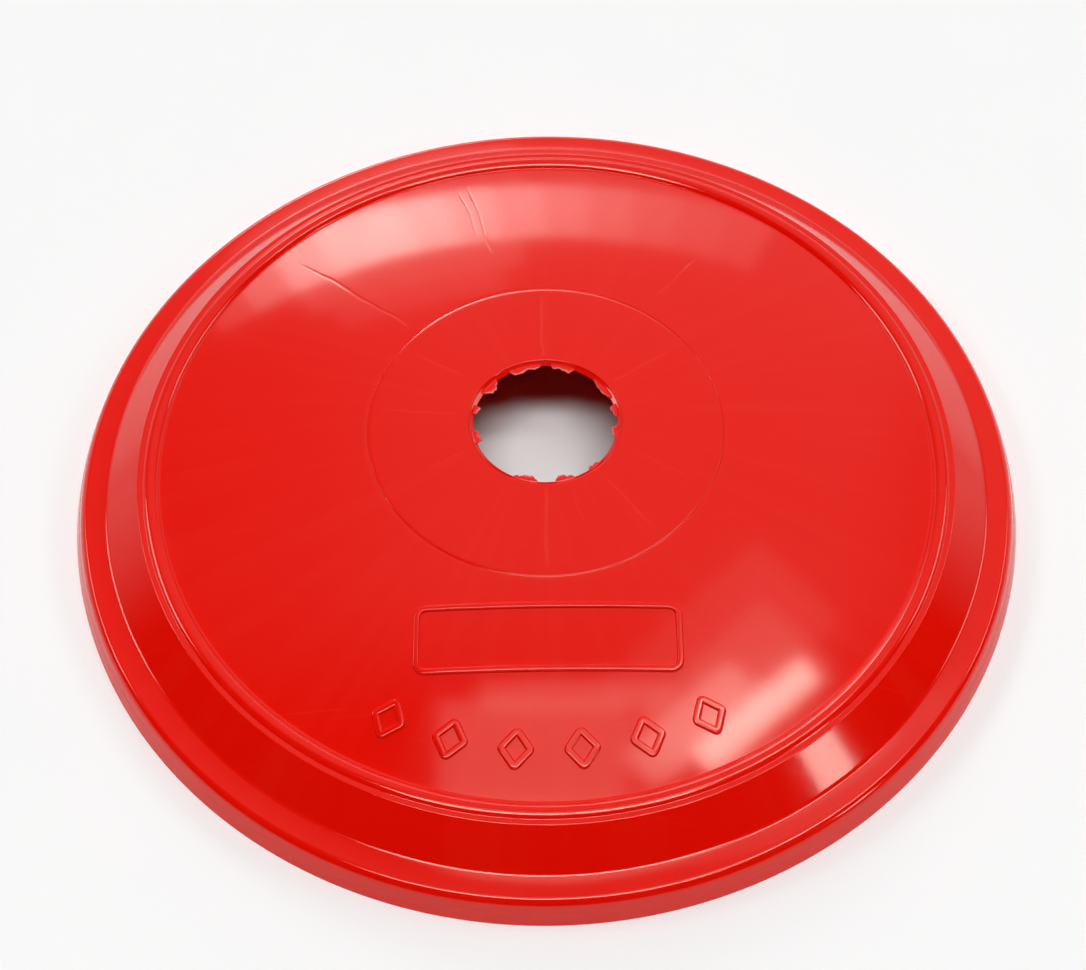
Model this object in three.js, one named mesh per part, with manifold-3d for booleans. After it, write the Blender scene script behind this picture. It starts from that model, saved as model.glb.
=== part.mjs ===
// Marker disc: a shallow moulded dome on a stepped rim, hollow underneath, with a hub plate
// seated flush in its middle and a round hole through the plate.
// Millimetres, +Z up. The origin is on the disc's axis, level with the floor that the rim stands on.

import * as THREE from 'three';
import { mergeVertices } from 'three/addons/utils/BufferGeometryUtils.js';
import Module from 'manifold-3d';

// Driving dimensions of the shell, from the rim inwards
const DISC_DIAMETER = 200; // over the bottom of the rim
const WALL = 1.8; // thickness of the moulding
const RIM_HEIGHT = 5.6; // floor to the flange's outer edge
const RIM_LEAN = 1.6; // how far the rim wall leans in by its top
const RIM_CORNER_WIDTH = 1.4; // of the round corner over the rim wall, seen from above
const RIM_CORNER_DROP = 1.4; // of that corner, from the flange to the top of the rim wall
const FLANGE_WIDTH = 4.4; // between that corner and the foot of the step
const FLANGE_DROP = 0.5; // of the flange, from the foot of the step outwards
const STEP_RUN = 7.4; // width of the sloping step, seen from above
const STEP_RISE = 5.9; // foot of the step to the ledge at its top
const LEDGE_WIDTH = 1.1; // of the flat ledge between the step and the bead
const BEAD_WIDTH = 3.3;
const BEAD_DROP = 0.3; // ledge outside the bead to the groove inside it
const BEAD_ROUNDING = 2.2; // radius over its top
const CROWN_RISE = 10.75; // groove to the top of the dome, if it had no hole

// Driving dimensions of the hub plate, its seat in the shell and its hole
const HUB_DIAMETER = 73.5; // the shell's opening for the hub plate
const SEAT_WIDTH = 3; // lap of the hub plate on the shell's seat
const SEAT_THICKNESS = 0.75; // of the shell's seat under that lap
const CLEARANCE = 0.3; // between the hub plate and the shell, all round
const SEAM_BEVEL = 0.4; // on both edges of the seam
const HOLE_DIAMETER = 31.4; // at the top
const HOLE_TAPER = 0.9; // how far its wall leans in by the bottom
const HOLE_EDGE = 0.9; // thickness of the hub plate at the hole
const HOLE_THINNING = 4; // width of the ring round the hole in which the plate thins

// Torn stubs left on the hole's lower edge: place round the axis in degrees, width and reach into the hole
const STUBS = [
  { place: 11, width: 3, reach: 1 },
  { place: 35, width: 5.6, reach: 0.8 },
  { place: 75, width: 5, reach: 1.2 },
  { place: 106, width: 6.8, reach: 1.3 },
  { place: 141, width: 4.4, reach: 1.6 },
  { place: 167, width: 2.2, reach: 1 },
  { place: 194, width: 3.2, reach: 1.5 },
  { place: 254, width: 5, reach: 1.1 },
  { place: 285, width: 4, reach: 1.2 },
  { place: 311, width: 2.4, reach: 0.7 },
  { place: 350, width: 3, reach: 1.1 },
];
const STUB_THICKNESS = 0.4;
const STUB_ROOT = 0.8; // length of a stub inside the hub plate
const TORN_EDGE = [[0.7, 0.9], [1, -0.3], [0.5, -0.8]]; // as shares of a stub's reach and half its width

// Raised marks on the front of the dome: a bordered panel and a row of lozenges below it
const RELIEF_HEIGHT = 0.5;
const PANEL_WIDTH = 52;
const PANEL_HEIGHT = 13.9;
const PANEL_CORNER = 2.5; // outer corner radius of its border
const BORDER_WIDTH = 1.1;
const PANEL_DISTANCE = 49; // disc's axis to the panel's middle
const LOZENGE_COUNT = 6;
const LOZENGE_WIDTH = 7.4;
const LOZENGE_HEIGHT = 9;
const LOZENGE_LINE = 1.3; // thickness of its outline, seen square on
const LOZENGE_DISTANCE = 71; // disc's axis to a lozenge's middle
const LOZENGE_PITCH = 12.6; // between middles, along the row

const RED = 0xe9231c;
const ROUNDS = 72; // flat sides that a full turn is drawn with
const DOME_STEPS = 9;
const HUB_STEPS = 4;
const BEAD_STEPS = 7;
const RIM_STEPS = 4;
const CORNER_STEPS = 3; // of a quarter turn at the panel's corners
const SAME_POINT = 1e-4; // points closer than this are joined

// Radii and heights that follow from these
const DISC_RADIUS = DISC_DIAMETER / 2;
const HUB_RADIUS = HUB_DIAMETER / 2;
const HOLE_RADIUS = HOLE_DIAMETER / 2;
const HOLE_BOTTOM_RADIUS = HOLE_RADIUS - HOLE_TAPER;
const RIM_WALL_RADIUS = DISC_RADIUS - RIM_LEAN;
const RIM_WALL_HEIGHT = RIM_HEIGHT - RIM_CORNER_DROP;
const FLANGE_RADIUS = RIM_WALL_RADIUS - RIM_CORNER_WIDTH;
const FOOT_RADIUS = FLANGE_RADIUS - FLANGE_WIDTH;
const LEDGE_RADIUS = FOOT_RADIUS - STEP_RUN;
const BEAD_RADIUS = LEDGE_RADIUS - LEDGE_WIDTH;
const GROOVE_RADIUS = BEAD_RADIUS - BEAD_WIDTH;
const FOOT_Z = RIM_HEIGHT + FLANGE_DROP;
const LEDGE_Z = FOOT_Z + STEP_RISE;
const GROOVE_Z = LEDGE_Z - BEAD_DROP;
const STEP_ANGLE = Math.atan2(STEP_RISE, STEP_RUN);
const SEAT_RADIUS = HUB_RADIUS - SEAT_WIDTH;
const LIP_THICKNESS = WALL - SEAT_THICKNESS - CLEARANCE;

// The dome is part of a sphere whose centre lies far below the floor
const CROWN_RADIUS = (GROOVE_RADIUS ** 2 + CROWN_RISE ** 2) / (2 * CROWN_RISE);
const CROWN_CENTRE_Z = GROOVE_Z + CROWN_RISE - CROWN_RADIUS;

const wasm = await Module();
wasm.setup();

const point = (radius, z) => new THREE.Vector2(radius, z);

// Height of the dome's outer face at a radius, or of a face `lift` away from it.
function domeZ(radius, lift = 0) {
  return CROWN_CENTRE_Z + Math.sqrt((CROWN_RADIUS + lift) ** 2 - radius ** 2);
}

// Points along the dome from one radius to another, on the face `lift` away from its outer one.
function domeArc(lift, fromRadius, toRadius, steps) {
  return Array.from({ length: steps + 1 }, (_, i) => {
    const radius = THREE.MathUtils.lerp(fromRadius, toRadius, i / steps);
    return point(radius, domeZ(radius, lift));
  });
}

// Points along a round corner of a profile.
function corner(centre, radius, fromAngle, toAngle, steps) {
  const clockwise = toAngle < fromAngle;
  const curve = new THREE.EllipseCurve(
    centre.x, centre.y, radius, radius, fromAngle, toAngle, clockwise,
  );
  return curve.getPoints(steps);
}

// A closed three.js geometry as a solid that can be joined and cut.
function solid(geometry) {
  geometry.deleteAttribute('normal');
  geometry.deleteAttribute('uv');
  const merged = mergeVertices(geometry, SAME_POINT);
  return new wasm.Manifold(new wasm.Mesh({
    numProp: 3,
    vertProperties: merged.attributes.position.array,
    triVerts: new Uint32Array(merged.index.array),
  }));
}

// A closed profile of radii and heights, carried round the disc's axis.
function turned(profile) {
  const loop = [...profile, profile[0]].reverse();
  return solid(new THREE.LatheGeometry(loop, ROUNDS).rotateX(Math.PI / 2));
}

// An outline in the plan, as a post from one height to another, with its origin moved and turned first.
function post(shape, fromZ, toZ, x, y, turn) {
  const geometry = new THREE.ExtrudeGeometry(shape, {
    depth: toZ - fromZ,
    bevelEnabled: false,
    curveSegments: CORNER_STEPS,
  });
  return solid(geometry.rotateZ(turn).translate(x, y, fromZ));
}

function mesh(name, body) {
  const made = body.getMesh();
  const geometry = new THREE.BufferGeometry();
  geometry.setAttribute('position', new THREE.BufferAttribute(made.vertProperties, 3));
  geometry.setIndex(new THREE.BufferAttribute(made.triVerts, 1));
  geometry.computeVertexNormals();
  const material = new THREE.MeshStandardMaterial({ color: RED, roughness: 0.28, metalness: 0 });
  const piece = new THREE.Mesh(geometry, material);
  piece.name = name;
  return piece;
}

// The round top of the bead, from the groove inside it to the ledge outside it.
function beadArc() {
  const start = point(GROOVE_RADIUS, GROOVE_Z);
  const end = point(BEAD_RADIUS, LEDGE_Z);
  const half = end.clone().sub(start).divideScalar(2);
  const depth = Math.sqrt(BEAD_ROUNDING ** 2 - half.lengthSq());
  const centre = start.clone().add(half).addScaledVector(point(half.y, -half.x).normalize(), depth);
  return corner(centre, BEAD_ROUNDING, start.sub(centre).angle(), end.sub(centre).angle(), BEAD_STEPS);
}

// The round corner over the rim wall. It starts with a crease at the flange and runs smoothly into the wall.
function rimArc() {
  const start = point(FLANGE_RADIUS, RIM_HEIGHT);
  const end = point(RIM_WALL_RADIUS, RIM_WALL_HEIGHT);
  const outward = point(RIM_WALL_HEIGHT, RIM_LEAN).normalize();
  const chord = start.clone().sub(end);
  const radius = chord.lengthSq() / (-2 * chord.dot(outward));
  const centre = end.clone().addScaledVector(outward, -radius);
  return corner(centre, radius, start.sub(centre).angle(), outward.angle(), RIM_STEPS);
}

// The shell's inner face, one wall below the outer one, from the rim to the seat.
function undersideLine() {
  const inset = WALL * Math.tan(STEP_ANGLE / 2);
  const flangeUnder = RIM_HEIGHT - WALL;
  const lean = (RIM_LEAN * flangeUnder) / RIM_WALL_HEIGHT;
  return [
    point(DISC_RADIUS - WALL, 0),
    point(DISC_RADIUS - lean - WALL, flangeUnder),
    point(FOOT_RADIUS - inset, FOOT_Z - WALL),
    point(LEDGE_RADIUS - inset, LEDGE_Z - WALL),
    ...domeArc(-WALL, GROOVE_RADIUS, SEAT_RADIUS, DOME_STEPS),
  ];
}

function shellBody() {
  return turned([
    point(HUB_RADIUS, domeZ(HUB_RADIUS) - SEAM_BEVEL),
    ...domeArc(0, HUB_RADIUS + SEAM_BEVEL, GROOVE_RADIUS, DOME_STEPS).slice(0, -1),
    ...beadArc(),
    point(LEDGE_RADIUS, LEDGE_Z),
    point(FOOT_RADIUS, FOOT_Z),
    ...rimArc(),
    point(DISC_RADIUS, 0),
    ...undersideLine(),
    ...domeArc(SEAT_THICKNESS - WALL, SEAT_RADIUS, HUB_RADIUS, 1),
  ]);
}

// Draws a rectangle with round corners, about the origin, on a shape or on a hole in one.
function roundedRectangle(path, width, height, radius) {
  const x = width / 2 - radius;
  const y = height / 2 - radius;
  path.absarc(x, y, radius, 0, Math.PI / 2);
  path.absarc(-x, y, radius, Math.PI / 2, Math.PI);
  path.absarc(-x, -y, radius, Math.PI, 1.5 * Math.PI);
  path.absarc(x, -y, radius, 1.5 * Math.PI, 2 * Math.PI);
  path.closePath();
  return path;
}

function panelBorder() {
  const border = roundedRectangle(new THREE.Shape(), PANEL_WIDTH, PANEL_HEIGHT, PANEL_CORNER);
  border.holes.push(roundedRectangle(
    new THREE.Path(),
    PANEL_WIDTH - 2 * BORDER_WIDTH,
    PANEL_HEIGHT - 2 * BORDER_WIDTH,
    PANEL_CORNER - BORDER_WIDTH,
  ));
  return border;
}

const diamond = (x, y) => [point(x, 0), point(0, y), point(-x, 0), point(0, -y)];

function lozenge() {
  const x = LOZENGE_WIDTH / 2;
  const y = LOZENGE_HEIGHT / 2;
  const shrink = 1 - (LOZENGE_LINE * Math.hypot(x, y)) / (x * y);
  const outline = new THREE.Shape(diamond(x, y));
  outline.holes.push(new THREE.Path(diamond(x * shrink, y * shrink)));
  return outline;
}

// The raised marks: upright posts, trimmed to a thin layer that follows the dome.
function reliefBodies() {
  const layer = turned([
    ...domeArc(RELIEF_HEIGHT, HUB_RADIUS + WALL, GROOVE_RADIUS - WALL, DOME_STEPS),
    ...domeArc(-WALL / 2, GROOVE_RADIUS - WALL, HUB_RADIUS + WALL, DOME_STEPS),
  ]);
  const top = domeZ(0, WALL);
  const panel = post(panelBorder(), 0, top, 0, -PANEL_DISTANCE, 0);
  const lozenges = Array.from({ length: LOZENGE_COUNT }, (_, i) => {
    const turn = ((i - (LOZENGE_COUNT - 1) / 2) * LOZENGE_PITCH) / LOZENGE_DISTANCE;
    const x = LOZENGE_DISTANCE * Math.sin(turn);
    const y = -LOZENGE_DISTANCE * Math.cos(turn);
    return post(lozenge(), 0, top, x, y, turn);
  });
  return [panel, ...lozenges].map((mark) => mark.intersect(layer));
}

function hubBody() {
  const edge = HUB_RADIUS - CLEARANCE;
  const lapEnd = SEAT_RADIUS - CLEARANCE;
  return turned([
    ...domeArc(0, HOLE_RADIUS, edge - SEAM_BEVEL, HUB_STEPS),
    point(edge, domeZ(edge) - SEAM_BEVEL),
    ...domeArc(-LIP_THICKNESS, edge, lapEnd, 1),
    ...domeArc(-WALL, lapEnd, HOLE_BOTTOM_RADIUS + HOLE_THINNING, HUB_STEPS),
    point(HOLE_BOTTOM_RADIUS, domeZ(HOLE_BOTTOM_RADIUS, -HOLE_EDGE)),
  ]);
}

// One torn stub, a thin flap on the lower edge of the hole's wall.
function stub({ place, width, reach }) {
  const root = HOLE_BOTTOM_RADIUS + STUB_ROOT;
  const torn = TORN_EDGE.map(([inward, aside]) => (
    point(HOLE_BOTTOM_RADIUS - inward * reach, (aside * width) / 2)
  ));
  const outline = new THREE.Shape([point(root, -width / 2), point(root, width / 2), ...torn]);
  const bottom = domeZ(root, -HOLE_EDGE);
  return post(outline, bottom, bottom + STUB_THICKNESS, 0, 0, THREE.MathUtils.degToRad(place));
}

const join = (bodies) => bodies.reduce((whole, body) => whole.add(body));

const disc = new THREE.Group();
disc.add(mesh('disc_shell', join([shellBody(), ...reliefBodies()])));
disc.add(mesh('hub_plate', join([hubBody(), ...STUBS.map(stub)])));

export default disc;
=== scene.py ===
"""Dresses the marker disc: a glossy red moulded shell with a flush hub plate, on a pale studio floor.

Metres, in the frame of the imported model: +Z is up, the rim stands on z = 0 and -Y is the front.
"""

import math

import bpy
import numpy as np
from mathutils import Matrix, Vector


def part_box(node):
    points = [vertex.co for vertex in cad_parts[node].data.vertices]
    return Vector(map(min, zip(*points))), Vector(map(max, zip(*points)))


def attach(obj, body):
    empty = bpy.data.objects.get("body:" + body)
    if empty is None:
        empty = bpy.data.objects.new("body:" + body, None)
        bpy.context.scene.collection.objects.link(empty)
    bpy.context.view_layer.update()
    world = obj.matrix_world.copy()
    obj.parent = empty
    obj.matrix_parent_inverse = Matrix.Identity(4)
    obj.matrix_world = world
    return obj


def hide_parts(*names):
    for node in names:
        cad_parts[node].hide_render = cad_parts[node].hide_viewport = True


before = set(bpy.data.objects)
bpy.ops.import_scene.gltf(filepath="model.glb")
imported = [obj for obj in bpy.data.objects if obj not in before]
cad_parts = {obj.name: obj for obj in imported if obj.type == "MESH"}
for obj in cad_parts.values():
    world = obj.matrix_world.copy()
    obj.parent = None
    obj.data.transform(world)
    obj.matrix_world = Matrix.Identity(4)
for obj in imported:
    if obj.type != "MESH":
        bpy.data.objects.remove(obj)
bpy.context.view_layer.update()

MM = 0.001

# Sizes of the shell, from the rim inwards
DISC_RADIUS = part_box("disc_shell")[1].x
WALL = 1.8 * MM
RIM_HEIGHT = 5.6 * MM
RIM_LEAN = 1.6 * MM
RIM_CORNER_WIDTH = 1.4 * MM
RIM_CORNER_DROP = 1.4 * MM
PARTING_HEIGHT = 2.6 * MM
PARTING_RIDGE = 0.07 * MM
PARTING_HALF_WIDTH = 1.5 * PARTING_RIDGE
FLANGE_WIDTH = 4.4 * MM
FLANGE_DROP = 0.5 * MM
FLANGE_HOLLOW = 0.03 * MM
FOOT_FILLET = 2.0 * MM
STEP_RUN = 7.4 * MM
STEP_RISE = 5.9 * MM
LEDGE_WIDTH = 1.1 * MM
LEDGE_EASE = 0.4 * MM  # radius over the ledge's outer edge
BEAD_WIDTH = 3.3 * MM
BEAD_DROP = 0.3 * MM
BEAD_ROUNDING = 2.2 * MM
CROWN_RISE = 10.75 * MM
EDGE_EASE = 0.12 * MM  # half width of the softening on a crisp edge

# Sizes of the hub plate, its seam and its hole
CLEARANCE = 0.3 * MM
HUB_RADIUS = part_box("hub_plate")[1].x + CLEARANCE
SEAT_WIDTH = 3.0 * MM
SEAT_THICKNESS = 0.75 * MM
SEAM_HALF_WIDTH = 0.55 * MM
SEAM_DEPTH = 0.07 * MM
SEAM_GAP = 0.03 * MM
HOLE_RADIUS = 15.7 * MM
HOLE_BOTTOM_RADIUS = 14.8 * MM
HOLE_EDGE = 0.9 * MM
HOLE_THINNING = 4.0 * MM
HOLE_EASE = 0.25 * MM

# Torn stubs on the hole's edge: where, how wide along the edge and how far in
STUB_ANGLES = np.radians([11, 35, 75, 106, 141, 167, 194, 254, 285, 311, 350])
STUB_WIDTHS = np.array([3.0, 5.6, 5.0, 6.8, 4.4, 2.2, 3.2, 5.0, 4.0, 2.4, 3.0]) * MM
STUB_REACHES = np.array([1.0, 0.8, 1.2, 1.3, 1.6, 1.0, 1.5, 1.1, 1.2, 0.7, 1.1]) * MM
STUB_THICKNESS = 0.4 * MM
STUB_ROOT = 0.6 * MM
STUB_CURL = 0.12 * MM
CURL_WAVE = (7.0, 3.3)  # angle from a stub's middle to its end, and from one stub to the next
TEAR_LEVEL = 0.8
TEAR_WAVES = [(0.25, 3.3, 1.9), (0.1, 9.1, 4.1), (0.05, 23.0, 2.7)]  # height, then angles as above

# Raised marks on the front of the dome
RELIEF_HEIGHT = 0.5 * MM
RELIEF_ROOT = 0.4 * MM
RELIEF_SPREAD = 0.12 * MM
RELIEF_EASE = 0.28 * MM
PANEL_WIDTH = 52.0 * MM
PANEL_HEIGHT = 13.9 * MM
PANEL_CORNER = 2.5 * MM
BORDER_WIDTH = 1.1 * MM
PANEL_DISTANCE = 49.0 * MM
LOZENGE_COUNT = 6
LOZENGE_WIDTH = 7.4 * MM
LOZENGE_HEIGHT = 9.0 * MM
LOZENGE_CORNER = 0.5 * MM
LOZENGE_LINE = 1.3 * MM
LOZENGE_DISTANCE = 71.0 * MM
LOZENGE_PITCH = 12.6 * MM

# What follows from these
RIM_WALL_RADIUS = DISC_RADIUS - RIM_LEAN
RIM_WALL_HEIGHT = RIM_HEIGHT - RIM_CORNER_DROP
FLANGE_RADIUS = RIM_WALL_RADIUS - RIM_CORNER_WIDTH
FOOT_RADIUS = FLANGE_RADIUS - FLANGE_WIDTH
LEDGE_RADIUS = FOOT_RADIUS - STEP_RUN
BEAD_RADIUS = LEDGE_RADIUS - LEDGE_WIDTH
GROOVE_RADIUS = BEAD_RADIUS - BEAD_WIDTH
FOOT_Z = RIM_HEIGHT + FLANGE_DROP
LEDGE_Z = FOOT_Z + STEP_RISE
GROOVE_Z = LEDGE_Z - BEAD_DROP
STEP_ANGLE = math.atan2(STEP_RISE, STEP_RUN)
SEAT_RADIUS = HUB_RADIUS - SEAT_WIDTH
LIP_THICKNESS = WALL - SEAT_THICKNESS - CLEARANCE
CROWN_RADIUS = (GROOVE_RADIUS**2 + CROWN_RISE**2) / (2 * CROWN_RISE)
CROWN_CENTRE_Z = GROOVE_Z + CROWN_RISE - CROWN_RADIUS

# How finely the surfaces are divided: steps round the axis, and points along each line
TURN_STEPS = 288
DOME_POINTS = 96
DOME_UNDERSIDE_POINTS = 106
BEAD_POINTS = 25
LEDGE_EDGE_POINTS = 9
FOOT_POINTS = 11
FLANGE_POINTS = 12
RIM_CORNER_POINTS = 11
LAP_POINTS = 4
HUB_POINTS = 46
HUB_UNDERSIDE_POINTS = 34
HOLE_EDGE_POINTS = 7
STUB_POINTS = 41
SHOULDER_POINTS = 6
PANEL_CORNER_POINTS = 9
LOZENGE_CORNER_POINTS = 5
LONGEST_SIDE = 1.5 * MM
PATH_EASE = 0.3 * MM
PATH_LONGEST_SIDE = 1.0 * MM
SAME_POINT = 1e-7

# Lines where streams of melt met: angle in degrees, start and end radius and width in millimetres, strength
SHELL_LINES = [
    (55, 42, 60, 0.5, 0.4),
    (103, 50, 77, 0.5, 0.6),
    (104.8, 57, 76, 0.5, 0.6),
    (137, 39, 76, 0.6, 0.5),
]
HUB_LINES = [
    (35, 17, 34, 0.5, 0.5),
    (91, 16, 36, 0.6, 0.9),
    (145, 20, 35, 0.5, 0.5),
    (173, 18, 35, 0.5, 0.5),
    (205, 17, 28, 0.5, 0.3),
    (270, 16, 36, 0.6, 0.9),
    (287, 17, 27, 0.5, 0.4),
    (310, 18, 35, 0.5, 0.5),
    (335, 18, 34, 0.5, 0.3),
]


# Shapes

def dome_height(radius, lift=0.0):
    """Height of the dome at a radius: the upper side of a sphere whose centre lies far below the floor."""
    return CROWN_CENTRE_Z + np.sqrt((CROWN_RADIUS + lift) ** 2 - radius**2)


def dome_line(lift, start, end, steps):
    """Points along the dome's section, `lift` away from its outer face, at even radii."""
    radius = np.linspace(start, end, steps)
    return np.column_stack([radius, dome_height(radius, lift)])


def arc(centre, radius, start, end, steps):
    """Points on a circle about centre, at even angles from start to end."""
    angle = np.linspace(start, end, steps)
    return np.column_stack([centre[0] + radius * np.cos(angle), centre[1] + radius * np.sin(angle)])


def rounded(before, corner, after, radius, steps):
    """Points on the arc that touches both sides of a corner: its centre lies on the corner's bisector, and
    the direction from it turns evenly from one side's foot to the other's."""
    one = (before - corner) / np.linalg.norm(before - corner)
    two = (after - corner) / np.linalg.norm(after - corner)
    half = math.acos(float(one @ two)) / 2
    centre = corner + (one + two) / np.linalg.norm(one + two) * radius / math.sin(half)
    first = (corner + one * radius / math.tan(half) - centre) / radius
    last = (corner + two * radius / math.tan(half) - centre) / radius
    turn = math.pi - 2 * half
    share = np.linspace(0, 1, steps)[:, None]
    blend = np.sin((1 - share) * turn) * first + np.sin(share * turn) * last
    return centre + radius * blend / math.sin(turn)


def eased(line, ease=EDGE_EASE, longest=LONGEST_SIDE):
    """A closed section with extra points: each long side gets one close to both of its ends, which keeps its
    corners crisp under smooth shading, and even ones between."""
    made = []
    for start, end in zip(line, np.roll(line, -1, axis=0)):
        length = np.linalg.norm(end - start)
        if length < SAME_POINT:
            continue
        share = np.array([0.0])
        if length > 4 * ease:
            count = max(2, math.ceil(length / longest) + 1)
            inner = np.linspace(ease / length, 1 - ease / length, count)
            share = np.concatenate([share, inner])
        made.append(start + share[:, None] * (end - start))
    return np.concatenate(made)


def smooth_mesh(name, vertices, faces, material):
    """Puts points and faces into a mesh object of the root body, shaded smooth."""
    mesh = bpy.data.meshes.new(name)
    mesh.from_pydata(vertices.tolist(), [], faces)
    mesh.polygons.foreach_set("use_smooth", np.ones(len(faces), bool))
    mesh.materials.append(material)
    piece = bpy.data.objects.new(name, mesh)
    bpy.context.scene.collection.objects.link(piece)
    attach(piece, "root")
    return piece


def ring_mesh(name, vertices, material):
    """A grid of points that closes on itself both ways, as a smooth mesh of four-sided faces."""
    rows, columns = vertices.shape[:2]
    index = np.arange(rows * columns).reshape(rows, columns)
    right = np.roll(index, -1, axis=1)
    quads = np.stack([index, right, np.roll(right, -1, axis=0), np.roll(index, -1, axis=0)], axis=-1)
    return smooth_mesh(name, vertices.reshape(-1, 3), quads.reshape(-1, 4).tolist(), material)


def turned(line):
    """A closed section of radii and heights carried round the disc's axis: x = r cos t and y = r sin t,
    with z kept."""
    angle = np.linspace(0, 2 * np.pi, TURN_STEPS, endpoint=False)[:, None]
    radius = line[None, :, 0]
    height = np.broadcast_to(line[None, :, 1], (TURN_STEPS, len(line)))
    return np.stack([radius * np.cos(angle), radius * np.sin(angle), height], axis=-1)


def bead_line():
    """Section of the bead and the ledge outside it: the arc of a circle from the groove to the bead's foot,
    then a flat ledge with a round edge at the top of the step."""
    start = np.array([GROOVE_RADIUS, GROOVE_Z])
    end = np.array([BEAD_RADIUS, LEDGE_Z])
    half = (end - start) / 2
    depth = math.sqrt(BEAD_ROUNDING**2 - half @ half)
    centre = start + half + depth * np.array([half[1], -half[0]]) / np.linalg.norm(half)
    first = math.atan2(*(start - centre)[::-1])
    last = math.atan2(*(end - centre)[::-1])
    top = arc(centre, BEAD_ROUNDING, first, last, BEAD_POINTS)
    edge = np.array([LEDGE_RADIUS, LEDGE_Z])
    foot = np.array([FOOT_RADIUS, FOOT_Z])
    return np.concatenate([top, rounded(end, edge, foot, LEDGE_EASE, LEDGE_EDGE_POINTS)])


def flange_line():
    """Section of the flange: the hollow corner at the foot of the step, then a slope outwards that sags
    below a straight line by a parabola."""
    ledge = np.array([LEDGE_RADIUS, LEDGE_Z])
    foot = np.array([FOOT_RADIUS, FOOT_Z])
    edge = np.array([FLANGE_RADIUS, RIM_HEIGHT])
    corner = rounded(ledge, foot, edge, FOOT_FILLET, FOOT_POINTS)
    share = np.linspace(0, 1, FLANGE_POINTS)[1:-1]
    slope = corner[-1] + share[:, None] * (edge - corner[-1])
    slope[:, 1] -= 4 * FLANGE_HOLLOW * share * (1 - share)
    return np.concatenate([corner, slope])


def rim_line():
    """Section of the rim from the flange down: an arc that starts with a crease and touches the leaning wall
    at its end, then that wall with a fine ridge on it."""
    start = np.array([FLANGE_RADIUS, RIM_HEIGHT])
    end = np.array([RIM_WALL_RADIUS, RIM_WALL_HEIGHT])
    outward = np.array([RIM_WALL_HEIGHT, RIM_LEAN]) / math.hypot(RIM_WALL_HEIGHT, RIM_LEAN)
    chord = start - end
    radius = chord @ chord / (-2 * chord @ outward)
    centre = end - radius * outward
    first = math.atan2(*(start - centre)[::-1])
    last = math.atan2(*outward[::-1])
    height = PARTING_HEIGHT + PARTING_HALF_WIDTH * np.array([1.0, 0.0, -1.0])
    wall = DISC_RADIUS - height * RIM_LEAN / RIM_WALL_HEIGHT
    return np.concatenate([
        arc(centre, radius, first, last, RIM_CORNER_POINTS),
        np.column_stack([wall + PARTING_RIDGE * np.array([0.0, 1.0, 0.0]), height]),
        [(DISC_RADIUS, 0.0)],
    ])


def underside_line():
    """Section of the hollow side, one wall below the outer one, from the rim's bottom to the seat."""
    inset = WALL * math.tan(STEP_ANGLE / 2)
    flange = RIM_HEIGHT - WALL
    return np.concatenate([
        [
            (DISC_RADIUS - WALL, 0.0),
            (DISC_RADIUS - WALL - flange * RIM_LEAN / RIM_WALL_HEIGHT, flange),
            (FOOT_RADIUS - inset, FOOT_Z - WALL),
            (LEDGE_RADIUS - inset, LEDGE_Z - WALL),
        ],
        dome_line(-WALL, GROOVE_RADIUS, SEAT_RADIUS, DOME_UNDERSIDE_POINTS),
    ])


def shell_skin(material):
    """The shell: its whole section, from the seam out over dome, bead, step and rim and back underneath,
    carried round the axis."""
    line = np.concatenate([
        [(HUB_RADIUS, dome_height(HUB_RADIUS) - SEAM_DEPTH)],
        dome_line(0.0, HUB_RADIUS + SEAM_HALF_WIDTH, GROOVE_RADIUS, DOME_POINTS)[:-1],
        bead_line(),
        flange_line(),
        rim_line(),
        underside_line(),
        dome_line(SEAT_THICKNESS - WALL, SEAT_RADIUS, HUB_RADIUS, LAP_POINTS),
    ])
    piece = ring_mesh("shell_skin", turned(eased(line)[::-1]), material)
    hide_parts("disc_shell")


def hub_skin(material):
    """The hub plate: its section, from the hole out over the top to the seam and back under the lap, carried
    round the axis."""
    edge = HUB_RADIUS - SEAM_GAP
    lap_end = SEAT_RADIUS - CLEARANCE
    inner = HOLE_RADIUS + HOLE_EASE
    top = dome_height(inner)
    line = np.concatenate([
        arc((inner, top - HOLE_EASE), HOLE_EASE, math.pi, math.pi / 2, HOLE_EDGE_POINTS),
        dome_line(0.0, inner, edge - SEAM_HALF_WIDTH, HUB_POINTS)[1:],
        [(edge, dome_height(edge) - SEAM_DEPTH)],
        dome_line(-LIP_THICKNESS, edge, lap_end, LAP_POINTS),
        dome_line(-WALL, lap_end, HOLE_BOTTOM_RADIUS + HOLE_THINNING, HUB_UNDERSIDE_POINTS),
        [(HOLE_BOTTOM_RADIUS, dome_height(HOLE_BOTTOM_RADIUS, -HOLE_EDGE))],
    ])
    piece = ring_mesh("hub_skin", turned(eased(line)[::-1]), material)
    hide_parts("hub_plate")


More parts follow.
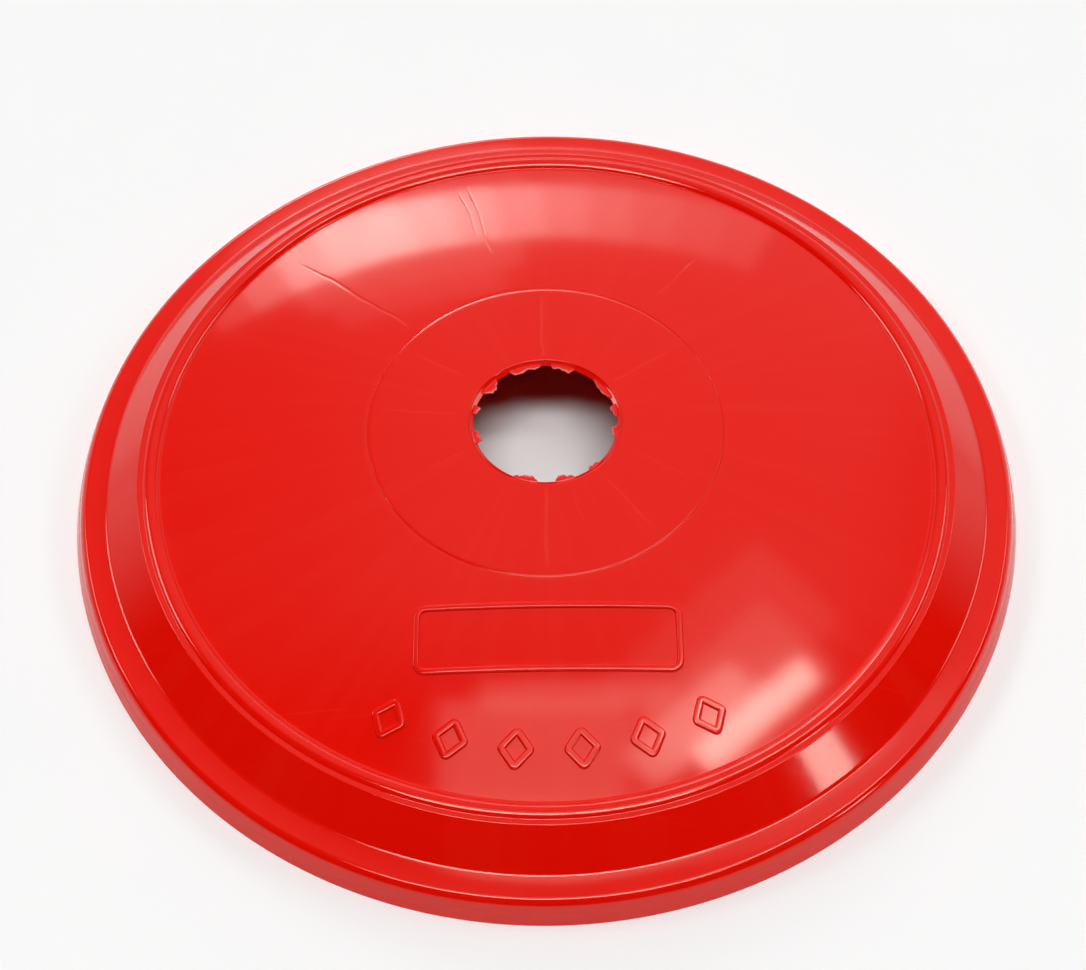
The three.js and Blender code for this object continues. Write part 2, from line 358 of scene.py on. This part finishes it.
def hole_stubs(material):
    """The torn stubs: for each, a thin wedge section carried along the lower edge of the hole's wall. Its
    reach is a bump over the stub's width, times waves of odd lengths that tear it. Each point keeps how near
    the tip it is."""
    along = np.linspace(-1, 1, STUB_POINTS)
    number = np.arange(len(STUB_ANGLES))[:, None]
    tear = TEAR_LEVEL
    for wave, length, shift in TEAR_WAVES:
        tear = tear + wave * np.sin(length * along + shift * number)
    reach = STUB_REACHES[:, None] * (1 - along**6) * tear
    angle = STUB_ANGLES[:, None] + along * STUB_WIDTHS[:, None] / (2 * HOLE_BOTTOM_RADIUS)
    share = np.array([-1.0, 0.0, 0.5, 0.85, 1.0, 0.85, 0.5, 0.0, -1.0])
    level = np.array([1.0, 1.0, 0.85, 0.55, 0.3, 0.1, 0.02, 0.0, 0.0])
    radius = HOLE_BOTTOM_RADIUS - np.where(share < 0, share * STUB_ROOT, share * reach[:, :, None])
    tip = np.clip(share, 0, 1)
    curl = STUB_CURL * np.sin(CURL_WAVE[0] * along + CURL_WAVE[1] * number)[:, :, None] * tip
    height = dome_height(HOLE_BOTTOM_RADIUS, -HOLE_EDGE) + level * STUB_THICKNESS + np.abs(curl)
    angle = angle[:, :, None]
    points = np.stack([radius * np.cos(angle), radius * np.sin(angle), height], axis=-1)
    index = np.arange(points[..., 0].size).reshape(points.shape[:3])
    right = np.roll(index, -1, axis=2)
    sides = np.stack([index[:, :-1], index[:, 1:], right[:, 1:], right[:, :-1]], axis=-1).reshape(-1, 4)
    ends = np.concatenate([index[:, 0], index[:, -1, ::-1]])
    piece = smooth_mesh("hole_stubs", points.reshape(-1, 3), sides.tolist() + ends.tolist(), material)
    torn = piece.data.attributes.new("torn", "FLOAT", "POINT")
    torn.data.foreach_set("value", np.broadcast_to(tip, points.shape[:3]).ravel())


def closed_path(corners, radius, steps):
    """A closed outline in the plan with round corners, and even points between them."""
    arcs = [
        rounded(before, corner, after, radius, steps)
        for before, corner, after in zip(np.roll(corners, 1, axis=0), corners, np.roll(corners, -1, axis=0))
    ]
    return eased(np.concatenate(arcs), PATH_EASE, PATH_LONGEST_SIDE)


def relief_ridge(name, path, width, material):
    """A raised line on the dome: a low section with round shoulders, carried along a closed path in the plan
    and lifted to the dome's height under each point."""
    ahead = np.roll(path, -1, axis=0) - np.roll(path, 1, axis=0)
    ahead = ahead / np.linalg.norm(ahead, axis=1, keepdims=True)
    side = np.column_stack([ahead[:, 1], -ahead[:, 0]])
    half = width / 2
    bend = (half - RELIEF_EASE, RELIEF_HEIGHT - RELIEF_EASE)
    shoulder = arc(bend, RELIEF_EASE, 0, math.pi / 2, SHOULDER_POINTS)
    flank = np.array([(half + RELIEF_SPREAD, -RELIEF_ROOT), (half + RELIEF_SPREAD, 0.0)])
    right = np.concatenate([flank, shoulder])
    line = np.concatenate([right, right[::-1] * (-1, 1)])
    plan = path[:, None, :] + line[None, :, :1] * side[:, None, :]
    height = dome_height(np.linalg.norm(plan, axis=-1)) + line[None, :, 1]
    piece = ring_mesh(name, np.concatenate([plan, height[..., None]], axis=-1), material)


def panel_border(material):
    """The bordered panel: a raised line round a rectangle with round corners."""
    x = (PANEL_WIDTH - BORDER_WIDTH) / 2
    y = (PANEL_HEIGHT - BORDER_WIDTH) / 2
    corners = np.array([(x, -y), (x, y), (-x, y), (-x, -y)]) - (0, PANEL_DISTANCE)
    path = closed_path(corners, PANEL_CORNER - BORDER_WIDTH / 2, PANEL_CORNER_POINTS)
    relief_ridge("panel_border", path, BORDER_WIDTH, material)


def lozenge(number, material):
    """One lozenge of the row: a raised line round a diamond, turned about the disc's axis to its place."""
    turn = (number - (LOZENGE_COUNT - 1) / 2) * LOZENGE_PITCH / LOZENGE_DISTANCE
    x = LOZENGE_WIDTH / 2
    y = LOZENGE_HEIGHT / 2
    shrink = 1 - LOZENGE_LINE / 2 * math.hypot(x, y) / (x * y)
    corners = np.array([(x, 0), (0, y), (-x, 0), (0, -y)]) * shrink - (0, LOZENGE_DISTANCE)
    spin = np.array([(math.cos(turn), math.sin(turn)), (-math.sin(turn), math.cos(turn))])
    path = closed_path(corners @ spin, LOZENGE_CORNER, LOZENGE_CORNER_POINTS)
    relief_ridge(f"lozenge_{number + 1}", path, LOZENGE_LINE, material)


# Finishes

DEEP_RED = (0.83, 0.0045, 0.0008, 1.0)
WORN_RED = (0.9, 0.05, 0.03, 1.0)
# Painted glow: the pale pink of the stubs' thin tips, standing in for light shining through them
LIT_FILM_PINK = (0.88, 0.42, 0.36, 1.0)
GLOSS_TINT = (1.0, 1.0, 0.86, 1.0)

# Grain of the plastic: how close its features lie, how high they are, and how scratches are drawn out
WAVE_SCALE, WAVE_HEIGHT = 24.0, 0.09 * MM
RIPPLE_SCALE, RIPPLE_HEIGHT = 140.0, 0.006 * MM
PIT_SCALE, PIT_HEIGHT = 1500.0, 0.0008 * MM
STREAK_SCALE = 16.0
SCRATCH_TURNS = (0.4, 2.1)
SCRATCH_STRETCH = (45, 2600, 1)
SCRATCH_EDGE = (0.76, 0.84)

# Weld lines: how far they wander and fade in and out, and how deep they are
WANDER_SCALE, WANDER_WIDTH = 120.0, 1.6 * MM
LINE_START_FADE = 2 * MM
LINE_END_FADE = 5 * MM
LINE_DEPTH = 0.05 * MM

# What lines, streaks and scratches add to the wear of the colour, and to the roughness
LINE_WEAR, STREAK_WEAR, SCRATCH_WEAR = 0.35, 0.06, 0.08
STREAK_EDGE = (0.4, 0.8)
ROUGHNESS, STREAK_ROUGHNESS, SCRATCH_ROUGHNESS = 0.088, 0.03, 0.06

# Torn plastic: how ragged the painted glow of light through its thin tips is, where it sets in, how pale it
# gets and how rough
RAGGED_SCALE, RAGGED_SHARE, RAGGED_MIDDLE = 500.0, 0.9, 0.45
GLOW_EDGE = (0.45, 1.1)
PAINTED_GLOW_SHARE = 0.6
TORN_ROUGHNESS, TIP_ROUGHNESS = 0.2, 0.3


def add(tree, kind, inputs=None, **settings):
    """A new node with its settings. Each input is a value, or the socket that feeds it."""
    made = tree.nodes.new(kind)
    for name, value in settings.items():
        setattr(made, name, value)
    for name, value in (inputs or {}).items():
        if isinstance(value, bpy.types.NodeSocket):
            tree.links.new(value, made.inputs[name])
        else:
            made.inputs[name].default_value = value
    return made


def calc(tree, operation, *values):
    """The result of a Math node."""
    return add(tree, "ShaderNodeMath", dict(enumerate(values)), operation=operation).outputs[0]


def noise(tree, vector, scale, detail):
    """A noise value about one half."""
    inputs = {"Vector": vector, "Scale": scale, "Detail": detail}
    return add(tree, "ShaderNodeTexNoise", inputs).outputs[0]


def ramp(tree, value, start, end, low, high):
    """A value eased from low to high while another goes from start to end."""
    inputs = {"Value": value, "From Min": start, "From Max": end, "To Min": low, "To Max": high}
    return add(tree, "ShaderNodeMapRange", inputs, interpolation_type="SMOOTHSTEP").outputs[0]


def mixed(tree, share, one, two):
    """A colour between two."""
    return add(tree, "ShaderNodeMix", {0: share, 6: one, 7: two}, data_type="RGBA").outputs[2]


def new_group(name, inputs, outputs):
    """A shader node group with float sockets: its tree, what it is given and what it gives."""
    tree = bpy.data.node_groups.new(name, "ShaderNodeTree")
    for socket in inputs:
        tree.interface.new_socket(socket, in_out="INPUT", socket_type="NodeSocketFloat")
    for socket in outputs:
        tree.interface.new_socket(socket, in_out="OUTPUT", socket_type="NodeSocketFloat")
    return tree, tree.nodes.new("NodeGroupInput").outputs, tree.nodes.new("NodeGroupOutput").inputs


def moulded_grain():
    """Group for moulded plastic: shallow waves, ripples and fine pits as a height in metres, streaks of flow
    outwards from the disc's axis, and hairline scratches that cross each other."""
    tree, _, result = new_group("moulded_grain", (), ("Height", "Streaks", "Scratches"))
    place = add(tree, "ShaderNodeTexCoord").outputs["Object"]
    waves = calc(tree, "MULTIPLY", noise(tree, place, WAVE_SCALE, 1.0), WAVE_HEIGHT)
    ripples = calc(tree, "MULTIPLY_ADD", noise(tree, place, RIPPLE_SCALE, 1.0), RIPPLE_HEIGHT, waves)
    pits = calc(tree, "MULTIPLY", noise(tree, place, PIT_SCALE, 2.0), PIT_HEIGHT)
    x, y, _ = add(tree, "ShaderNodeSeparateXYZ", {0: place}).outputs
    square = calc(tree, "ADD", calc(tree, "MULTIPLY", x, x), calc(tree, "MULTIPLY", y, y))
    radius = calc(tree, "SQRT", square)
    outward = {0: calc(tree, "DIVIDE", x, radius), 1: calc(tree, "DIVIDE", y, radius), 2: radius}
    ray = add(tree, "ShaderNodeCombineXYZ", outward).outputs[0]
    streaks = noise(tree, ray, STREAK_SCALE, 3.0)
    hairlines = []
    for turn in SCRATCH_TURNS:
        inputs = {"Vector": place, "Rotation": (0, 0, turn), "Scale": SCRATCH_STRETCH}
        spun = add(tree, "ShaderNodeMapping", inputs).outputs[0]
        hairlines.append(ramp(tree, noise(tree, spun, 1.0, 0.0), *SCRATCH_EDGE, 0.0, 1.0))
    tree.links.new(calc(tree, "ADD", ripples, pits), result["Height"])
    tree.links.new(streaks, result["Streaks"])
    tree.links.new(calc(tree, "MAXIMUM", *hairlines), result["Scratches"])
    return tree


def weld_line():
    """Group for a line where two streams of melt met. It lies on the ray from the disc's axis at an angle,
    wanders a little to both sides and fades at its start and end radius."""
    tree, given, result = new_group("weld_line", ("Angle", "Start", "End", "Width"), ("Line",))
    place = add(tree, "ShaderNodeTexCoord").outputs["Object"]
    back = calc(tree, "MULTIPLY", given["Angle"], -1.0)
    spun = add(tree, "ShaderNodeVectorRotate", {"Vector": place, "Angle": back}, rotation_type="Z_AXIS")
    x, y, _ = add(tree, "ShaderNodeSeparateXYZ", {0: spun.outputs[0]}).outputs
    sway = calc(tree, "SUBTRACT", noise(tree, place, WANDER_SCALE, 2.0), 0.5)
    wander = calc(tree, "MULTIPLY", sway, WANDER_WIDTH)
    aside = calc(tree, "ABSOLUTE", calc(tree, "ADD", y, wander))
    across = ramp(tree, aside, 0.0, given["Width"], 1.0, 0.0)
    begun = ramp(tree, x, given["Start"], calc(tree, "ADD", given["Start"], LINE_START_FADE), 0.0, 1.0)
    ended = ramp(tree, x, calc(tree, "SUBTRACT", given["End"], LINE_END_FADE), given["End"], 1.0, 0.0)
    tree.links.new(calc(tree, "MULTIPLY", calc(tree, "MULTIPLY", across, begun), ended), result["Line"])
    return tree


def new_material(name):
    """A material with its tree and its shader."""
    material = bpy.data.materials.new(name)
    material.use_nodes = True
    return material, material.node_tree, material.node_tree.nodes["Principled BSDF"]


def moulded_red(name, grain, weld, lines):
    """Gloss red plastic, paler and rougher in its streaks and scratches, with a shallow dent along each
    weld line."""
    material, tree, shader = new_material(name)
    surface = add(tree, "ShaderNodeGroup", node_tree=grain).outputs
    marks = 0.0
    for angle, start, end, width, strength in lines:
        inputs = {"Angle": math.radians(angle), "Start": start * MM, "End": end * MM, "Width": width * MM}
        line = add(tree, "ShaderNodeGroup", inputs, node_tree=weld).outputs["Line"]
        marks = calc(tree, "MULTIPLY_ADD", line, strength, marks)
    worn = ramp(tree, surface["Streaks"], *STREAK_EDGE, 0.0, STREAK_WEAR)
    worn = calc(tree, "MULTIPLY_ADD", marks, LINE_WEAR, worn)
    worn = calc(tree, "MULTIPLY_ADD", surface["Scratches"], SCRATCH_WEAR, worn)
    tree.links.new(mixed(tree, worn, DEEP_RED, WORN_RED), shader.inputs["Base Color"])
    rough = calc(tree, "MULTIPLY_ADD", surface["Streaks"], STREAK_ROUGHNESS, ROUGHNESS)
    rough = calc(tree, "MULTIPLY_ADD", surface["Scratches"], SCRATCH_ROUGHNESS, rough)
    tree.links.new(rough, shader.inputs["Roughness"])
    shader.inputs["Specular Tint"].default_value = GLOSS_TINT
    dent = calc(tree, "MULTIPLY_ADD", marks, -LINE_DEPTH, surface["Height"])
    bump = add(tree, "ShaderNodeBump", {"Distance": 1.0, "Height": dent})
    tree.links.new(bump.outputs[0], shader.inputs["Normal"])
    return material


def torn_red(grain):
    """Red plastic painted pale pink towards the torn tips, a painted glow that stands in for light shining
    through the thin film; the tips are also rough.
    """
    material, tree, shader = new_material("torn_red")
    surface = add(tree, "ShaderNodeGroup", node_tree=grain).outputs
    tip = add(tree, "ShaderNodeAttribute", attribute_name="torn").outputs["Fac"]
    place = add(tree, "ShaderNodeTexCoord").outputs["Object"]
    tip = calc(tree, "SUBTRACT", tip, RAGGED_MIDDLE)
    ragged = calc(tree, "MULTIPLY_ADD", noise(tree, place, RAGGED_SCALE, 2.0), RAGGED_SHARE, tip)
    # Painted light: the pale pink towards the tips stands in for light shining through the thin torn film
    white = ramp(tree, ragged, *GLOW_EDGE, 0.0, PAINTED_GLOW_SHARE)
    tree.links.new(mixed(tree, white, DEEP_RED, LIT_FILM_PINK), shader.inputs["Base Color"])
    rough = calc(tree, "MULTIPLY_ADD", white, TIP_ROUGHNESS, TORN_ROUGHNESS)
    tree.links.new(rough, shader.inputs["Roughness"])
    bump = add(tree, "ShaderNodeBump", {"Distance": 1.0, "Height": surface["Height"]})
    tree.links.new(bump.outputs[0], shader.inputs["Normal"])
    return material


# Stage

# The floor: white near the disc and grey further out, a painted pool of light with painted shade round it,
# with the distances where it turns
FLOOR_SIZE = 8.0
FLOOR_WHITE = (0.96, 0.96, 0.96, 1.0)
FLOOR_BRIGHT = (0.985, 0.985, 0.98, 1.0)
FLOOR_PAINTED_SHADE = (0.6, 0.6, 0.6, 1.0)
FLOOR_SHADE_TURN = (0.22, 0.5)
FLOOR_MOTTLE_SCALE = 30.0
FLOOR_ROUGHNESS = 0.8

LAMP_DISTANCE = 3.0

# Lamps above: x and y of the unit vector towards each, its sides over its distance, turn and radiance
SOFTBOXES = [
    ("overhead", (0.0, -0.27), (0.7, 0.22), 0, 10.8),
    ("key_softbox", (0.361, 0.052), (0.27, 0.05), 42, 14.0),
    ("key_halo", (0.252, 0.026), (0.26, 0.085), 42, 3.8),
    ("key_halo_wide", (0.297, 0.1), (0.36, 0.12), 45, 0.8),
    ("key_halo_far", (0.3, 0.165), (0.42, 0.2), 45, 0.45),
    ("ceiling", (-0.03, -0.075), (0.34, 0.29), 0, 1.4),
    ("ceiling_tube", (0.05, 0.075), (0.34, 0.05), 0, 1.5),
    ("left_fill", (-0.77, 0.27), (0.4, 0.2), 70.7, 6.0),
    ("right_fill", (0.78, 0.27), (0.4, 0.2), 109.1, 3.5),
]

# Lamps with level edges: azimuth, elevation, width and height in degrees, and radiance
BACK_GLOWS = [
    ("back_glow", 103, 30.0, 22, 5, 0.6),
    ("back_glow_high", 103, 34.0, 18, 4, 0.4),
]
FRONT_LAMP = ("front_lamp", -29.5, 27.0, 8, 8, 9.5)

# The low strip behind: azimuth and radiance of each lamp in it, side by side
BACK_STRIP = [
    (120, 0.7), (116, 2.0), (112, 5.0), (108, 6.8), (104, 7.2), (100, 5.9), (96, 4.4), (92, 3.1), (88, 2.2),
    (84, 1.5), (80, 1.0), (76, 0.7), (72, 0.5),
]
BACK_STRIP_ELEVATION = 23.2
BACK_STRIP_WIDTH = 4.0
BACK_STRIP_HEIGHT = 9.2

# World light: levels of the low band, the tall band and the room, and the directions where each ends
LOW_BAND_LEVEL = 0.5
LOW_BAND_TOP = (0.06, 0.16)
TALL_BAND_SIDE_LEVEL, TALL_BAND_BACK_LEVEL = 0.7, 0.5
TALL_BAND_TOP = (0.25, 0.55)
TALL_BAND_FRONT = (0.05, 0.5)
TALL_BAND_BACK = (0.6, 0.9)
ROOM_LEFT_LEVEL, ROOM_RIGHT_LEVEL = 0.2, 0.45
ROOM_LEFT = (-0.5, -0.1)
ROOM_FRONT = (0.0, 0.35)
ROOM_SIDES = (0.45, 0.75)
PURE_WHITE = (1.0, 1.0, 1.0, 1.0)


def studio_floor():
    """A wide white floor, very slightly mottled, that turns a soft grey further out from the disc: painted
    shade, a painted falloff of the light round the disc.
    """
    bpy.ops.mesh.primitive_plane_add(size=FLOOR_SIZE)
    floor = bpy.context.object
    floor.name = "floor"
    material, tree, shader = new_material("pale_floor")
    place = add(tree, "ShaderNodeTexCoord").outputs["Object"]
    white = mixed(tree, noise(tree, place, FLOOR_MOTTLE_SCALE, 3.0), FLOOR_WHITE, FLOOR_BRIGHT)
    away = add(tree, "ShaderNodeVectorMath", {0: place}, operation="LENGTH").outputs["Value"]
    # Painted shade: the floor colour greys with distance from the disc, standing in for light that falls off
    colour = mixed(tree, ramp(tree, away, *FLOOR_SHADE_TURN, 0.0, 1.0), white, FLOOR_PAINTED_SHADE)
    tree.links.new(colour, shader.inputs["Base Color"])
    shader.inputs["Roughness"].default_value = FLOOR_ROUGHNESS
    floor.data.materials.append(material)


def softbox(name, toward, size, turn, radiance):
    """A rectangular lamp that faces the disc, towards the x and y of a unit vector. Its first side is turned
    from +X by degrees. Its power is pi times radiance times area, which gives that radiance all over it."""
    away = Vector((*toward, math.sqrt(1 - toward[0] ** 2 - toward[1] ** 2)))
    along = Vector((math.cos(math.radians(turn)), math.sin(math.radians(turn)), 0.0))
    along = (along - along.dot(away) * away).normalized()
    lamp = bpy.data.lights.new(name, "AREA")
    lamp.shape = "RECTANGLE"
    lamp.size, lamp.size_y = LAMP_DISTANCE * size[0], LAMP_DISTANCE * size[1]
    lamp.energy = math.pi * radiance * lamp.size * lamp.size_y
    rig = bpy.data.objects.new(name, lamp)
    turned_to = Matrix((along, away.cross(along), away)).transposed().to_4x4()
    rig.matrix_world = Matrix.Translation(LAMP_DISTANCE * away) @ turned_to
    bpy.context.scene.collection.objects.link(rig)


def level_softbox(name, azimuth, elevation, width, height, radiance):
    """A lamp at an azimuth from +X towards +Y and an elevation, with level edges, all in degrees."""
    around, up = math.radians(azimuth), math.radians(elevation)
    toward = (math.cos(up) * math.cos(around), math.cos(up) * math.sin(around))
    size = (math.radians(width) * math.cos(up), math.radians(height))
    softbox(name, toward, size, azimuth + 90, radiance)


def studio_light():
    """A broad lamp overhead, a narrow softbox above on the right with a halo, a dim ceiling, soft fill from
    both sides, a low strip behind that fades to both ends, and a small lamp in front."""
    for lamp in SOFTBOXES:
        softbox(*lamp)
    for lamp in BACK_GLOWS:
        level_softbox(*lamp)
    for azimuth, radiance in BACK_STRIP:
        size = (BACK_STRIP_WIDTH, BACK_STRIP_HEIGHT)
        level_softbox(f"back_strip_{azimuth}", azimuth, BACK_STRIP_ELEVATION, *size, radiance)
    level_softbox(*FRONT_LAMP)


def studio_room():
    """World light by direction: a pale band low at the horizon all round, a taller one on both sides and
    behind, and a dim room above it, dimmer on the left. Above the low band, the camera's side is dark."""
    world = bpy.data.worlds.new("room")
    bpy.context.scene.world = world
    world.use_nodes = True
    tree = world.node_tree
    direction = add(tree, "ShaderNodeTexCoord").outputs["Generated"]
    x, y, z = add(tree, "ShaderNodeSeparateXYZ", {0: direction}).outputs
    low_band = ramp(tree, z, *LOW_BAND_TOP, LOW_BAND_LEVEL, 0.0)
    around = ramp(tree, y, *TALL_BAND_BACK, TALL_BAND_SIDE_LEVEL, TALL_BAND_BACK_LEVEL)
    around = calc(tree, "MULTIPLY", ramp(tree, y, *TALL_BAND_FRONT, 0.0, 1.0), around)
    tall_band = calc(tree, "MULTIPLY", ramp(tree, z, *TALL_BAND_TOP, 1.0, 0.0), around)
    between = ramp(tree, calc(tree, "ABSOLUTE", x), *ROOM_SIDES, 1.0, 0.0)
    room = calc(tree, "MULTIPLY", ramp(tree, y, *ROOM_FRONT, 0.0, 1.0), between)
    room = calc(tree, "MULTIPLY", ramp(tree, x, *ROOM_LEFT, ROOM_LEFT_LEVEL, ROOM_RIGHT_LEVEL), room)
    strength = calc(tree, "MAXIMUM", calc(tree, "MAXIMUM", low_band, tall_band), room)
    backdrop = tree.nodes["Background"]
    tree.links.new(strength, backdrop.inputs["Strength"])
    backdrop.inputs["Color"].default_value = PURE_WHITE


# Camera: the photograph's lens and standpoint, with the disc's axis a little off the middle of the frame
IMAGE_WIDTH = 1086
FOCAL_PIXELS = 1900
SENSOR = 36.0
CAMERA_DISTANCE = 408.6 * MM
CAMERA_ELEVATION = math.radians(55.46)
CAMERA_ROLL = math.radians(0.71)
AXIS_RIGHT_PIXELS = 2.9
AXIS_UP_PIXELS = 3.8


def photograph_camera():
    """The camera, looking at the origin from the front."""
    lens = bpy.data.cameras.new("camera")
    lens.sensor_width = SENSOR
    lens.lens = FOCAL_PIXELS / IMAGE_WIDTH * SENSOR
    lens.shift_x = -AXIS_RIGHT_PIXELS / IMAGE_WIDTH
    lens.shift_y = -AXIS_UP_PIXELS / IMAGE_WIDTH
    camera = bpy.data.objects.new("camera", lens)
    toward = Vector((0.0, -math.cos(CAMERA_ELEVATION), math.sin(CAMERA_ELEVATION)))
    standpoint = CAMERA_DISTANCE * toward
    pitch = Matrix.Rotation(math.pi / 2 - CAMERA_ELEVATION, 4, "X")
    roll = Matrix.Rotation(-CAMERA_ROLL, 4, "Z")
    camera.matrix_world = Matrix.Translation(standpoint) @ pitch @ roll
    bpy.context.scene.collection.objects.link(camera)
    bpy.context.scene.camera = camera


grain = moulded_grain()
weld = weld_line()
shell_red = moulded_red("shell_red", grain, weld, SHELL_LINES)
hub_red = moulded_red("hub_red", grain, weld, HUB_LINES)
shell_skin(shell_red)
hub_skin(hub_red)
hole_stubs(torn_red(grain))
panel_border(shell_red)
for number in range(LOZENGE_COUNT):
    lozenge(number, shell_red)
studio_floor()
studio_light()
studio_room()
photograph_camera()
bpy.context.scene.view_settings.view_transform = "Standard"
